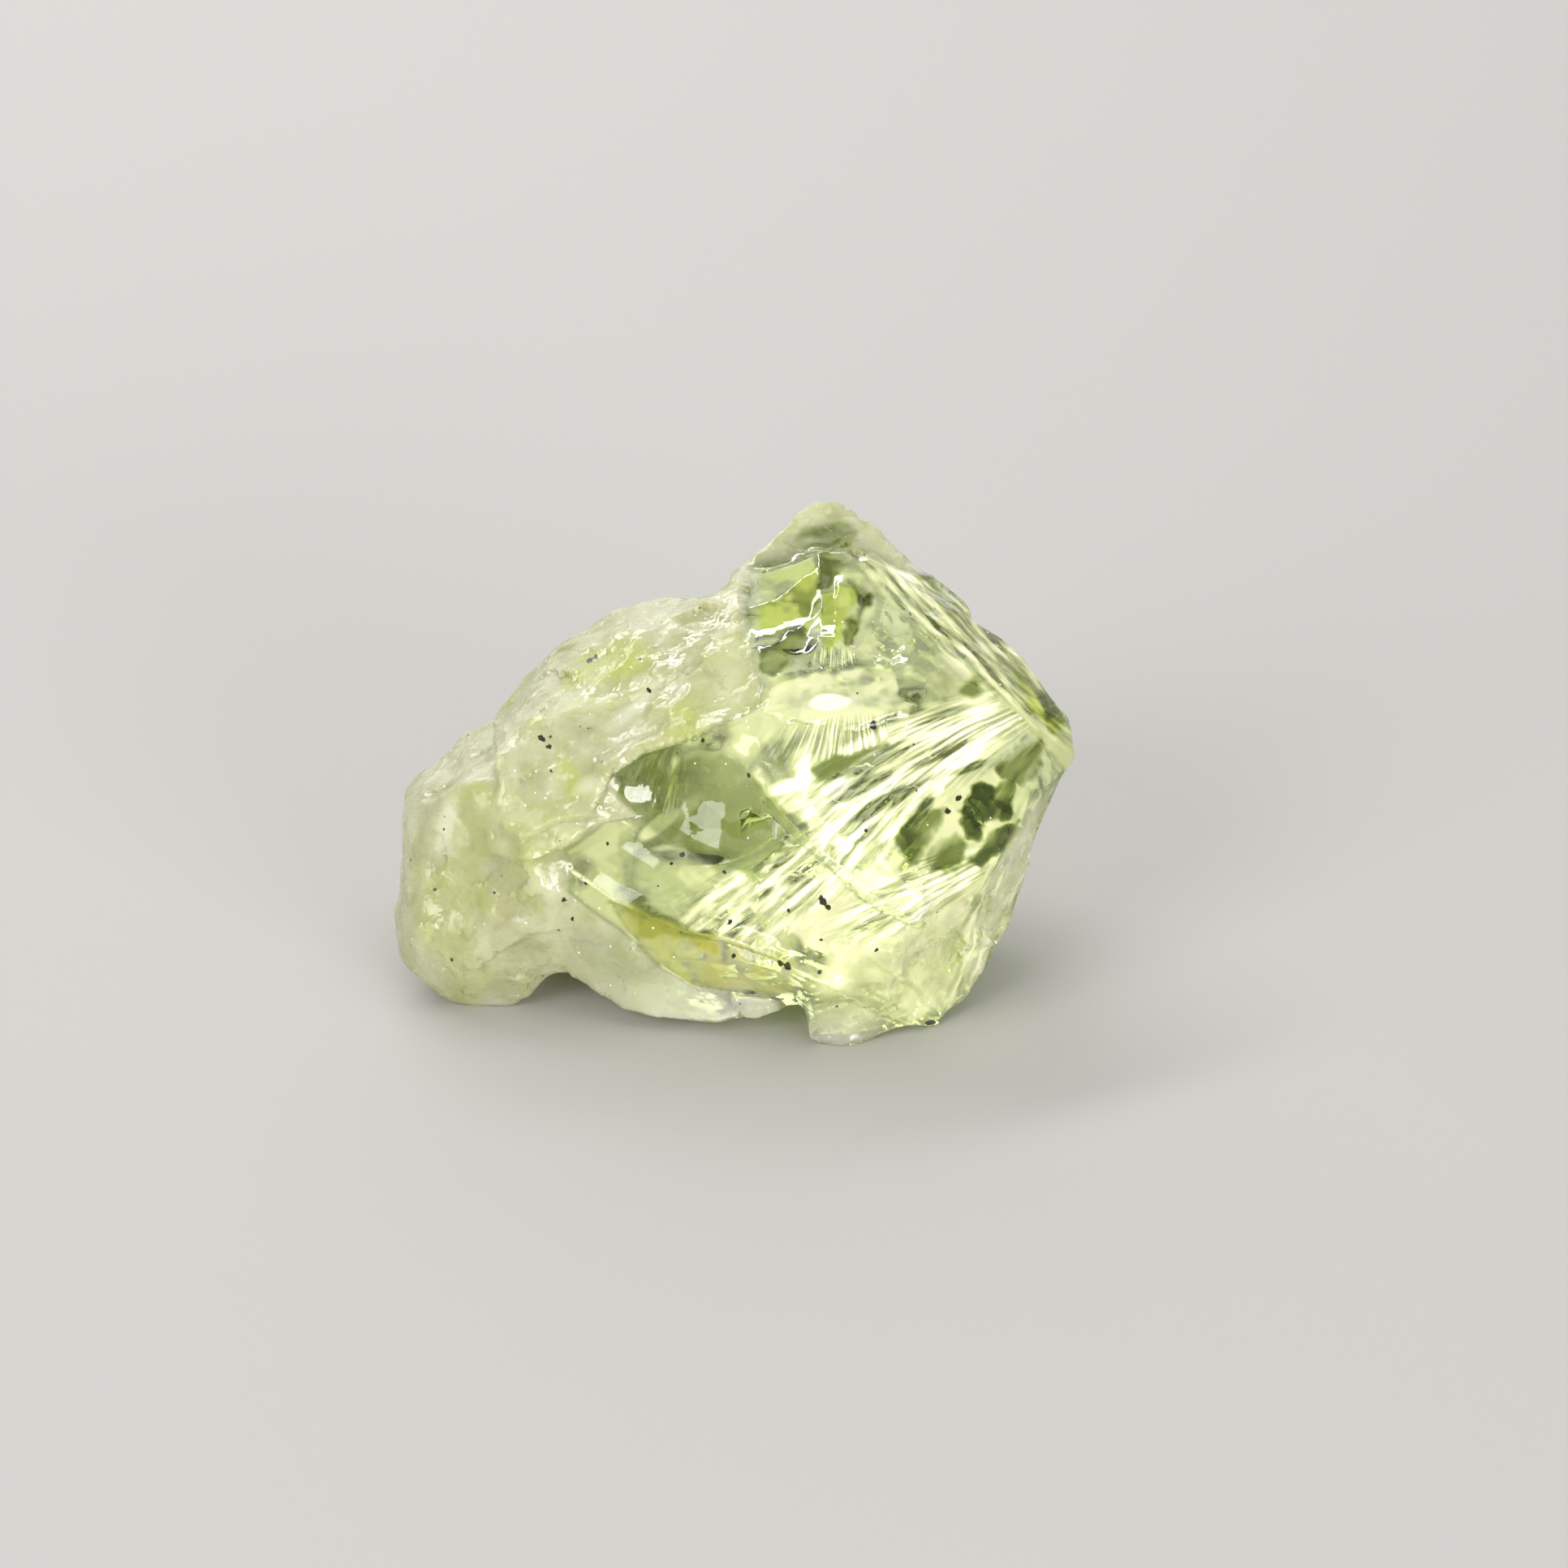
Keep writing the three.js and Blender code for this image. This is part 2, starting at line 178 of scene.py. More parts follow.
# Tips that the fans of fine ridges spread from, and how much the widest fan bends.
FAN_TIP = (1375, 834)
FAN_BEND = -0.012
LOW_FAN_TIP = (1250, 860)
RIGHT_FAN_TIP = (1330, 1000)
COMB_TIP = (1050, 770)
TOP_COMB_TIP = (1030, 700)
BOWL_TIP = (890, 700)
BOWL_MIDDLE = (905, 940)

# Lime areas of the display side.
LIME_AREAS = {
    "lime facet": [(934, 700), (1008, 682), (1011, 750), (985, 790), (957, 838), (936, 790)],
    "prism": [(1012, 735), (1037, 721), (1060, 723), (1046, 757), (1040, 794), (1018, 808)],
    "shoulder top": [(691, 842), (715, 802), (770, 790), (812, 808), (775, 838)],
    "shoulder middle": [(822, 880), (850, 858), (873, 880), (870, 905), (830, 905)],
    "lobe": [(687, 970), (690, 936), (715, 940), (723, 975), (700, 984)],
    "right edge": [(1255, 830), (1290, 860), (1318, 885), (1300, 900), (1270, 875)],
}

# Painted dark green, where darkness seen through the clear quartz is painted into its colour, and darker
# below the ledge: the outline and how dark.
PAINTED_DARK_AREAS = {
    "behind the lime facet": ([(942, 833), (945, 800), (965, 790), (993, 768), (985, 800), (957, 838)], 1),
    "grey band": ([(1051, 720), (1071, 735), (1066, 768), (1045, 792), (1046, 765), (1060, 745)], 0.5),
    "top corner": ([(1009, 681), (1040, 684), (1035, 718), (1012, 726)], 0.55),
    "quad": ([(1178, 855), (1206, 822), (1217, 836), (1203, 858)], 0.5),
    "right edge": ([(1275, 850), (1287, 850), (1306, 880), (1290, 892)], 0.9),
    "leaf": ([(1009, 948), (1035, 931), (1096, 917), (1057, 937), (1021, 956)], 0.5),
    "soft green": ([(1133, 998), (1169, 993), (1153, 1018), (1136, 1068), (1116, 1068), (1108, 1032)], 0.55),
    "deep green": ([
        (1175, 998), (1203, 973), (1248, 965), (1251, 1007), (1214, 1018), (1192, 1035), (1181, 1018)], 1),
    "high stripes": ([(1232, 950), (1251, 912), (1290, 905), (1284, 940), (1258, 965)], 1),
    "low right": ([(1195, 1063), (1217, 1032), (1256, 1012), (1248, 1035), (1209, 1071)], 0.9),
    "low green": ([(1141, 1060), (1181, 1021), (1186, 1066), (1144, 1085)], 0.5),
    "bowl left": ([(774, 984), (790, 945), (812, 930), (818, 960), (800, 1000)], 0.5),
    "bowl right": ([(850, 960), (900, 1010), (940, 990), (960, 1025), (900, 1030), (850, 1020)], 0.45),
    "bowl": ([
        (758, 958), (790, 931), (868, 912), (936, 964), (999, 1033), (930, 1080), (854, 1062),
        (774, 990)], 0.33),
    "peak": ([(978, 655), (1000, 640), (1040, 640), (1062, 668), (1020, 682), (988, 678)], 0.3),
    "darker below the ledge": ([(752, 1113), (790, 1121), (881, 1151), (870, 1165), (790, 1150)], 0.5),
}

# Ovals of painted glow in the clear part, which stand in for light caught inside it: as the ovals above, and
# how strong the painted glow is.
PAINTED_GLOW_OVALS = {
    "main glow": ((972, 968), (2.1, 0.6), 25, 1.0, 1.0),
    "main glow top": ((992, 952), (1.5, 0.8), 60, 1.0, 1.0),
    "wide glow": ((1000, 985), (3.6, 2.2), 30, 0.9, 0.6),
    "top facet": ((1100, 770), (6.0, 3.5), -40, 0.6, 0.25),
    "right half": ((1120, 1040), (9.5, 7.5), 20, 0.5, 0.55),
    "lower band": ((1010, 1130), (8.0, 2.2), -28, 0.5, 0.62),
    "plate glow": ((1021, 864), (1.5, 0.7), 0, 1.0, 0.8),
    "long streak": ((1150, 895), (6.2, 1.0), 24, 0.6, 0.7),
    "right glow": ((1150, 972), (1.1, 0.8), 20, 0.6, 0.9),
    "low glow": ((1100, 1095), (3.0, 1.3), -25, 0.8, 0.75),
    "low right glow": ((1165, 1085), (2.0, 1.0), 35, 0.9, 0.8),
    "right low": ((1215, 1120), (1.6, 3.4), -25, 0.8, 0.6),
    "crumbly": (*CRUMBLY, 0.75),
    "swirl": ((828, 968), (0.6, 2.2), -8, 0.9, 0.7),
    "low swirl": ((812, 1016), (0.5, 1.8), -55, 0.9, 0.7),
    "swirl foot": ((865, 1038), (2.6, 0.35), 8, 0.9, 0.6),
    "warm spot": ((910, 990), (1.0, 1.1), 20, 0.9, 0.45),
    "right band": ((1200, 785), (10.5, 2.4), -42, 0.5, 0.35),
    "right edge": ((1240, 1105), (1.5, 9.0), -22, 0.6, 0.5),
    "facets by the ledge": ((850, 1110), (4.0, 2.0), -30, 0.8, 0.3),
}

# Clear gaps between the blades of painted glow: the middle pixel, the half sizes in mm, the turn and how
# clear.
WINDOWS = [
    ((868, 1000), (5.5, 4.0), -20, 0.5),
    ((1065, 938), (3.6, 0.75), 18, 1.0),
    ((1068, 966), (2.3, 0.45), 28, 1.0),
    ((1097, 986), (2.5, 0.6), 27, 1.0),
    ((1140, 1000), (1.3, 0.4), 60, 0.9),
    ((971, 1057), (1.2, 0.35), 35, 1.0),
    ((992, 1074), (2.0, 0.5), 33, 1.0),
    ((936, 1105), (1.1, 0.3), 30, 0.9),
    ((1073, 1140), (1.5, 0.4), 18, 0.7),
    ((1160, 930), (2.6, 0.35), 25, 0.8),
    ((1196, 946), (1.5, 0.3), 22, 0.8),
    ((920, 1064), (1.6, 0.5), 12, 0.9),
    ((1165, 880), (2.2, 0.4), 20, 0.7),
]
WINDOW_SOFTNESS = 0.35

# White patches, with painted highlights among them (the glints and the peak's rim), and the middle lobe both
# creamy and whitened as painted light: the middle pixel, the half sizes in mm, the turn and how white.
WHITE_AND_GLINT_PATCHES = {
    "middle lobe": ((860, 1240), (7.5, 2.6), 8, 1.0),
    "vein": ((898, 850), (1.0, 2.2), 0, 0.4),
    "shoulder glint": ((790, 865), (2.4, 0.5), 40, 0.9),
    "shoulder spot": ((723, 968), (0.9, 0.6), 30, 0.8),
    "peak rim highlight": ((965, 690), (2.2, 0.9), 35, 0.8),
    "left glint": ((556, 1015), (0.5, 1.9), -20, 1.0),
    "foot": ((1040, 1270), (3.0, 1.6), 12, 0.6),
    "right edge": ((1240, 1105), (1.5, 9.0), -22, 0.8),
}
WHITE_SOFTNESS = 0.7

# Black grains that the display side shows one by one: the pixel and the radius in mm.
GRAINS = [
    ((670, 912), 0.20), ((677, 920), 0.17), ((679, 908), 0.10), ((725, 811), 0.20), ((733, 806), 0.14),
    ((925, 956), 0.16), ((1015, 1113), 0.24), ((1021, 1119), 0.19), ((1012, 1108), 0.12), ((1078, 893), 0.28),
    ((1071, 1021), 0.13), ((1081, 1172), 0.12), ((1168, 1000), 0.17), ((1180, 985), 0.20),
    ((722, 1090), 0.12), ((868, 912), 0.15), ((728, 899), 0.12), ((682, 951), 0.13), ((750, 1040), 0.12),
    ((695, 1108), 0.16),
    ((690, 1148), 0.10), ((707, 1132), 0.13), ((899, 1137), 0.15), ((971, 1123), 0.14), ((904, 1179), 0.14),
    ((972, 1191), 0.30), ((963, 1187), 0.22), ((1013, 1160), 0.10), ((1011, 1198), 0.16), ((829, 1064), 0.12),
    ((842, 1052), 0.20), ((893, 1077), 0.12), ((560, 1180), 0.12), ((610, 1100), 0.10), ((538, 1096), 0.14),
    ((640, 1200), 0.11), ((800, 850), 0.13),
]
FAR_FROM_GRAINS = 2.0

# Cracks inside the clear part: the pixel, the depth, the way each faces to the right, up and away, its half
# sizes and its turn.
CRACKS = {
    "under the plate": ((1050, 855), 1.8, (0.0, 0.9, -0.45), (5.5, 3.5), 0),
    "behind the glow": ((995, 975), 2.5, (-0.3, 0.5, -0.8), (2.4, 1.6), 0.4),
    "along the streaks": ((1120, 950), 2.5, (0.2, 0.75, -0.6), (7.0, 2.0), 0.4),
    "under the top": ((1065, 770), 2.5, (0.8, 0.1, -0.6), (2.5, 2.0), 0.2),
    "right": ((1215, 1000), 2.5, (0.5, 0.5, -0.7), (3.2, 1.8), 0.7),
    "low": ((1000, 1090), 3.0, (0.1, 0.7, -0.7), (4.5, 2.0), 0.3),
    "lower right": ((1150, 1150), 2.5, (0.3, 0.6, -0.7), (3.0, 2.0), 0.9),
    "low end": ((1080, 1190), 2.5, (-0.3, 0.4, -0.8), (2.5, 2.0), 0.1),
}
CRACK_GAP = 0.05
CRACK_WAVE = 0.9
CRACK_WAVE_SIZE = 2.5
CRACK_RINGS = 12
CRACK_SPOKES = 48


class Noise:
    """Smooth seeded noise in space, from 0 to 1, with features about 1 mm across at scale 1."""

    TABLE_SIZE = 4096
    CELL_FACTORS = (73856093, 19349663, 83492791)
    OCTAVE_SHIFT = 17.3

    def __init__(self, seed):
        self.table = np.random.default_rng(seed).random(self.TABLE_SIZE)

    def _corner(self, cell):
        x, y, z = (cell[:, axis] * factor for axis, factor in enumerate(self.CELL_FACTORS))
        return self.table[(x ^ y ^ z) & (self.TABLE_SIZE - 1)]

    def __call__(self, where, scale=1.0):
        p = where / scale
        cell = np.floor(p).astype(np.int64)
        t = p - cell
        t = t * t * (3 - 2 * t)
        total = 0.0
        for corner in np.ndindex(2, 2, 2):
            weight = np.prod(np.where(corner, t, 1 - t), axis=1)
            total = total + weight * self._corner(cell + np.array(corner))
        return total

    def rough(self, where, scale, octaves=4):
        """Several sizes of the noise added, from 0 to 1."""
        total, size, reach = 0.0, 1.0, 0.0
        for octave in range(octaves):
            total = total + size * self(where + self.OCTAVE_SHIFT * octave, scale / 2**octave)
            reach += size
            size /= 2
        return total / reach


def smooth_step(low, high, x):
    t = np.clip((x - low) / (high - low), 0, 1)
    return t * t * (3 - 2 * t)


def as_displayed(where):
    """Across, up and away of each point, as the display view shows them, in mm from the lump's centre."""
    p = where - LUMP_CENTRE
    away = p @ AWAY
    nearer = CAMERA_DISTANCE / (CAMERA_DISTANCE + away)
    return (p @ RIGHT) * nearer, (p @ UP) * nearer, away


def at_pixel(x, y):
    """Across and up of a pixel of the photograph."""
    return (x - CENTRE_PIXEL[0]) / PIXELS_PER_MM, (CENTRE_PIXEL[1] - y) / PIXELS_PER_MM


def left_of_edge(across, up, pixels):
    """Millimetres to the left of a line that runs down the display side."""
    ends = np.array([at_pixel(*p) for p in pixels])[::-1]
    return np.interp(up, np.maximum.accumulate(ends[:, 1]), ends[:, 0]) - across


# The fine mesh of the lump.
def fine_mesh(node):
    """A closed copy of a frame node with small, even triangles: its points in mm and its triangles."""
    mesh = node.data.copy()
    mesh.transform(node.matrix_world)
    lump = bpy.data.objects.new("remesh", mesh)
    bpy.context.collection.objects.link(lump)
    remesh = lump.modifiers.new("even", "REMESH")
    remesh.mode = "VOXEL"
    remesh.voxel_size = FACE_WIDTH * MM
    remesh.adaptivity = 0
    fine = bpy.data.meshes.new_from_object(lump.evaluated_get(bpy.context.evaluated_depsgraph_get()))
    sheet = bmesh.new()
    sheet.from_mesh(fine)
    halve_clear_faces(sheet)
    bmesh.ops.triangulate(sheet, faces=sheet.faces)
    made = np.array([vertex.co for vertex in sheet.verts]) / MM
    corners = np.array([[vertex.index for vertex in face.verts] for face in sheet.faces])
    sheet.free()
    bpy.data.objects.remove(lump)
    bpy.data.meshes.remove(mesh)
    bpy.data.meshes.remove(fine)
    return made, corners


def halve_clear_faces(sheet):
    """Cuts the faces that face the display view on the clear side in four."""
    middles = np.array([face.calc_center_median() for face in sheet.faces]) / MM
    ways = np.array([face.normal for face in sheet.faces])
    across, up, _ = as_displayed(middles)
    chosen = (ways @ AWAY < -FINER_FACING) & (left_of_edge(across, up, MILK_EDGE) < FINER_MARGIN)
    edges = {edge for face, picked in zip(sheet.faces, chosen) if picked for edge in face.edges}
    bmesh.ops.subdivide_edges(sheet, edges=list(edges), cuts=1, use_grid_fill=True)


def face_ways(where, corners):
    """For each triangle, a vector along its normal, as long as twice its area."""
    return np.cross(where[corners[:, 1]] - where[corners[:, 0]], where[corners[:, 2]] - where[corners[:, 0]])


def gathered(values, corners, count):
    """Adds up the values of the triangles at their corners."""
    return np.column_stack([
        sum(np.bincount(corners[:, corner], column, count) for corner in range(3)) for column in values.T])


def normals_of(where, corners):
    total = gathered(face_ways(where, corners), corners, len(where))
    return total / (np.linalg.norm(total, axis=1, keepdims=True) + 1e-12)


def smoothed(values, corners, rounds):
    """Each value drawn to its neighbours' mean and pushed back a little, so that only fine roughness goes."""
    count = len(values)
    starts = np.concatenate([corners[:, 0], corners[:, 1], corners[:, 2]])
    ends = np.concatenate([corners[:, 1], corners[:, 2], corners[:, 0]])
    links = np.bincount(starts, minlength=count) + np.bincount(ends, minlength=count)
    for _ in range(rounds):
        for share in SMOOTHING_SHARES:
            mean = np.column_stack([
                (np.bincount(starts, column[ends], count) + np.bincount(ends, column[starts], count)) / links
                for column in values.T])
            values = values + share * (mean - values)
    return values


points, faces = fine_mesh(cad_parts["prasiolite"])
standing = points[:, 2] < RESTING_HEIGHT
points = smoothed(points, faces, SMOOTHING_ROUNDS)
points[standing, 2] = 0
normals = normals_of(points, faces)
face_thirds = np.linalg.norm(face_ways(points, faces), axis=1)[:, None] / 6
vertex_area = gathered(face_thirds, faces, len(points))[:, 0]
across, up, away = as_displayed(points)
facing = -(normals @ AWAY)
front = smooth_step(0.02, 0.25, facing)
hidden = smooth_step(0.1, -0.2, facing)


# Masks and distances on the display side, all in millimetres.
def patch(pixel, size, turn=0.0, soft=0.5):
    """1 inside an oval, 0 outside: its middle in pixels, half sizes in mm and turn in degrees."""
    a, u = at_pixel(*pixel)
    turn = math.radians(turn)
    along = ((across - a) * math.cos(turn) + (up - u) * math.sin(turn)) / size[0]
    aside = (-(across - a) * math.sin(turn) + (up - u) * math.cos(turn)) / size[1]
    return (1 - smooth_step(1 - soft, 1 + soft, np.hypot(along, aside))) * front


def beside(pixels, closed=False):
    """How far each point is from a line of pixels, its side (1 on the left) and how far along, 0 to 1."""
    corners = [np.array(at_pixel(*p)) for p in pixels]
    if closed:
        corners.append(corners[0])
    nearest, side, along = np.full(len(points), np.inf), np.zeros(len(points)), np.zeros(len(points))
    for number, (start, end) in enumerate(zip(corners, corners[1:])):
        way = end - start
        from_start = np.column_stack([across, up]) - start
        t = np.clip(from_start @ way / (way @ way), 0, 1)
        distance = np.linalg.norm(from_start - t[:, None] * way, axis=1)
        nearer = distance < nearest
        turn = way[0] * from_start[:, 1] - way[1] * from_start[:, 0]
        side[nearer] = np.sign(turn[nearer])
        along[nearer] = (number + t[nearer]) / (len(corners) - 1)
        nearest[nearer] = distance[nearer]
    return nearest, side, along


def outline(pixels, soft=0.25, ragged=0.5, seed=70):
    """1 inside an outline with a ragged edge, 0 outside."""
    inside = np.zeros(len(points), dtype=bool)
    corners = [at_pixel(*p) for p in pixels]
    for (ax, ay), (bx, by) in zip(corners, corners[1:] + corners[:1]):
        crosses = (ay > up) != (by > up)
        inside ^= crosses & (across < (bx - ax) * (up - ay) / (by - ay + 1e-9) + ax)
    depth = beside(pixels, closed=True)[0] * np.where(inside, 1, -1)
    depth += ragged * (Noise(seed).rough(points, 1.6, 3) - 0.5) * 2
    return smooth_step(-soft, soft, depth) * front


def line_on(pixels, width):
    """1 on a line of pixels, falling to 0 at a width on both sides."""
    return np.clip(1 - beside(pixels)[0] / width, 0, 1) * front


# Where the quartz is milky: left of its edge in front, on the left behind, and on the peak.
cloudy = Noise(3)
left = left_of_edge(across, up, MILK_EDGE)
front_milk = smooth_step(-0.5, 0.6, left + 0.9 * (cloudy.rough(points, 2.0) - 0.5))
leftward = 4 - points[:, 0] + 0.4 * (points[:, 2] - 15)
back_milk = smooth_step(-3, 4, leftward + 16 * (cloudy.rough(points, 9.0) - 0.5))
peak = smooth_step(0.5, 2.5, away - 1.0) * smooth_step(14, 15.5, up)
milk = np.maximum(front_milk * (1 - hidden) + back_milk * hidden, PEAK_MILK * peak)
milk *= 0.72 + 0.28 * cloudy.rough(points + 30, 4.0)
milk *= 1 - 0.25 * outline(THIN_MILK, 0.8)
for oval, strength, (even, uneven), (shift, size) in MILKY_PATCHES.values():
    milk = np.maximum(milk, strength * patch(*oval) * (even + uneven * cloudy.rough(points + shift, size, 3)))
milk *= 1 - 0.8 * patch(*PEAK_WINDOW) * peak
clear = 1 - milk


# The broken surface.
def cups(seed, spacing, radius, lean):
    """Height of a surface broken into shallow cups, lowest inside them and highest on the edges between."""
    rng = np.random.default_rng(seed)
    count = int(vertex_area.sum() / spacing**2)
    chosen = rng.choice(len(points), count, replace=False, p=vertex_area / vertex_area.sum())
    curves = 1 / (2 * rng.uniform(*radius, count))
    slopes = rng.normal(0, lean, (count, 3))
    tree = KDTree(count)
    for number, middle in enumerate(points[chosen]):
        tree.insert(middle, number)
    tree.balance()
    near = np.array([[found[1] for found in tree.find_n(place, NEAR_CUPS)] for place in points])
    spokes = points[:, None, :] - points[chosen][near]
    heights = (spokes**2).sum(axis=2) * curves[near] + (spokes * slopes[near]).sum(axis=2)
    return heights.min(axis=1)


def lines_from(tip, bend=0.0, shortness=0.12):
    """Across each line of a fan from a tip, along it and in depth: where the noise of its ridges is read."""
    a, u = at_pixel(*tip)
    far = np.hypot(across - a, up - u)
    angle = np.arctan2(u - up, a - across) + bend * far
    return np.column_stack([angle * 20, far * shortness, away * 0.04])


def lines_along(start, end):
    """The same for straight lines beside one another, which run as the line between two pixels does."""
    first = np.array(at_pixel(*start))
    way = np.array(at_pixel(*end)) - first
    way /= np.linalg.norm(way)
    from_start = np.column_stack([across, up]) - first
    return np.column_stack([from_start @ [way[1], -way[0]], from_start @ way * 0.12, away * 0.04])


def lines_around(middle):
    """The same for lines that run round a middle."""
    a, u = at_pixel(*middle)
    far = np.hypot(across - a, up - u)
    angle = np.arctan2(up - u, across - a)
    return np.column_stack([far, angle * 0.6, away * 0.04])


# Fine ridges of the break: the way they run, where they are, how wide and how high they are, and how strong a
# painted highlight lies along them.
ridge_distance, ridge_side, _ = beside(FRONT_RIDGE)
right_of_ridge = smooth_step(-0.15, 0.15, ridge_distance * ridge_side)
left_of_ridge = 1 - right_of_ridge
wide_fan = lines_from(FAN_TIP, FAN_BEND)
low_fan = lines_from(LOW_FAN_TIP)
right_band = lines_along(RIGHT_RIDGE[0], RIGHT_RIDGE[-1])
right_edge = lines_along(RIGHT_RIDGE[-1], RIGHT_FOOT)
RIDGES = {
    "upper streaks": (wide_fan, patch((1110, 940), (9.5, 2.9), 22, 0.4) * right_of_ridge, 1.5, 0.20, 1.0),
    "middle streaks": (wide_fan, patch((1050, 1010), (7.0, 3.6), 28, 0.3) * right_of_ridge, 1.1, 0.17, 1.0),
    "lower streaks": (low_fan, patch((960, 1088), (8.0, 3.2), 30, 0.3) * left_of_ridge, 1.2, 0.20, 0.75),
    "right low": (lines_from(RIGHT_FAN_TIP), patch((1125, 1105), (6.0, 2.0), 30, 0.4), 1.1, 0.18, 1.0),
    "comb": (lines_from(COMB_TIP), patch((1040, 915), (4.8, 1.5), 4, 0.5), 0.32, 0.07, 0.35),
    "top comb": (lines_from(TOP_COMB_TIP), patch((1030, 811), (1.5, 0.6), 0, 0.3), 0.5, 0.10, 0.3),
    "right band": (right_band, patch((1200, 785), (10.5, 2.2), -42, 0.4), 0.7, 0.06, 0.2),
    "right edge": (right_edge, patch((1235, 1110), (1.7, 8.0), -22, 0.4), 1.0, 0.16, 0.5),
    "bowl swirl": (lines_around(BOWL_MIDDLE), patch((850, 1020), (4.0, 1.4), -35, 0.6), 2.2, 0.16, 0.0),
    "bowl left": (lines_from(BOWL_TIP), patch((817, 958), (1.6, 2.4), 10, 0.5), 0.6, 0.08, 0.35),
    "shoulder foot": (lines_from(BOWL_TIP), patch((830, 905), (3.0, 0.9), 15, 0.4), 0.6, 0.14, 0.4),
}
ridged = Noise(21)
lift = np.zeros(len(points))
painted_streak_highlights = np.zeros(len(points))
ridge_ways = np.zeros((len(points), 3))
strongest = np.zeros(len(points))
for number, (ways, region, width, height, painted_highlight) in enumerate(RIDGES.values()):
    own_ways = ways + 31 * number
    ribs = 0.65 * np.abs(2 * ridged(own_ways, width) - 1)
    ribs += 0.35 * np.abs(2 * ridged(own_ways + 9, width / 2) - 1)
    lift -= height * region * (1 - ribs)
    gaps = smooth_step(0.30, 0.10, ribs)
    painted_streak_highlights = np.maximum(painted_streak_highlights, painted_highlight * smooth_step(0.2, 0.7, region) * (1 - 0.8 * gaps))
    ridge_ways = np.where((region > strongest)[:, None], own_ways, ridge_ways)
    strongest = np.maximum(strongest, region * (painted_highlight > 0))

# The plate, lines, steps and pits that the display side shows one by one.
plate = outline(PLATE, 0.35, 0.6)
lift += PLATE_HEIGHT * plate * smooth_step(*PLATE_ROWS, CENTRE_PIXEL[1] - up * PIXELS_PER_MM)
for pixels, height, width in LINES:
    lift += height * line_on(pixels, width)
for pixels, height, width in STEPS.values():
    distance, side, along = beside(pixels)
    raised = np.clip(1 - distance / width, 0, 1) * smooth_step(-0.3, 0.1, distance * side)
    lift += height * raised * np.sqrt(np.sin(math.pi * along)) * front
for pixel, radius in PITS.values():
    a, u = at_pixel(*pixel)
    lift -= PIT_DEPTH * radius * np.clip(1 - (np.hypot(across - a, up - u) / radius)**2, 0, 1) * front

# Cups everywhere: broad on the clear side, smaller on the milky side, and crumbly at the lower right.
waxy = Noise(55)
crumbly = patch(*CRUMBLY)
broad, faceted, small = (cups(*row) for row in CUPS.values())
milky_relief = MILKY_SHARES["faceted"] * faceted + MILKY_SHARES["small"] * small
milky_relief += MILKY_SHARES["waxy"] * (waxy.rough(points, 1.6, 3) - 0.5)
milky_relief = np.clip(milky_relief - milky_relief.mean(), *MILKY_LIMITS)
clear_relief = CLEAR_SHARE * np.clip(broad - broad.mean(), *CLEAR_LIMITS)
milky_part = np.maximum(milk, PEAK_MILK * peak)
lift += milky_part * milky_relief + (1 - milky_part) * clear_relief
crumbs = np.abs(2 * waxy.rough(points + 5, 1.4, 3) - 1) - 0.4
lift += crumbly * (CRUMBLY_SHARES["small"] * small + CRUMBLY_SHARES["waxy"] * crumbs)

above_floor = smooth_step(*RELIEF_FADE, points[:, 2])
points += normals * (lift * above_floor)[:, None]
points[:, 2] = np.maximum(points[:, 2], 0)
surface_count = len(points)

# Lime, and painted dark green: darkness seen through the clear quartz, painted into its colour.
lime = smooth_step(0.50, 0.66, Noise(61).rough(points, 5.0)) * 0.38 * milk
for seed, pixels in enumerate(LIME_AREAS.values()):
    area = outline(pixels, 0.25 + 0.7 * milk, 0.45 + 0.6 * milk, 80 + seed)
    lime = np.maximum(lime, (1 - 0.35 * milk) * area)
painted_dark = np.zeros(len(points))
for seed, (pixels, strength) in enumerate(PAINTED_DARK_AREAS.values()):
    painted_dark = np.maximum(painted_dark, strength * outline(pixels, 0.3, 0.9, 90 + seed))
blade_ways = lines_from(FAN_TIP, FAN_BEND, 0.2)
painted_dark *= 0.3 + 0.85 * smooth_step(0.25, 0.62, Noise(66).rough(blade_ways * np.array([1, 2, 1]), 1.2, 3))
painted_dark = np.minimum(painted_dark, 1)

# Painted glow: painted highlights along the streaks, painted glows torn into blades that stand in for light
# caught inside the clear part, and clear gaps between them.
blades = Noise(67)
torn = 0.6 * blades(blade_ways, 1.4) + 0.4 * blades(blade_ways + 9, 0.5)
painted_glows = [(patch(*oval), strength) for *oval, strength in PAINTED_GLOW_OVALS.values()]
painted_glows += [
    # Painted glow on the plate, the lime facet and the prism, and painted highlight lines along the right
    # ridge and the ledge.
    (plate * (0.35 + 0.9 * (Noise(69).rough(points, 1.4, 3) - 0.2)), 0.52),
    (outline(LIME_AREAS["lime facet"]), 0.15),
    (outline(LIME_AREAS["prism"]), 0.35),
    (line_on(RIGHT_RIDGE, 0.35), 0.5),
    (line_on(LEDGE, 0.25), 0.7),
]
painted_glow = painted_streak_highlights * (0.62 + 0.55 * (Noise(64).rough(points, 2.5) - 0.3))
for area, strength in painted_glows:
    painted_glow = np.maximum(painted_glow, strength * smooth_step(0.25, 0.75, area + 0.8 * (torn - 0.5) * (area > 0)))
painted_glow = np.maximum(painted_glow, 0.42 * smooth_step(0.35, 0.62, Noise(68).rough(points, 3.0)) * (1 - hidden))
for pixel, size, turn, strength in WINDOWS:
    painted_glow *= 1 - strength * patch(pixel, size, turn, WINDOW_SOFTNESS)
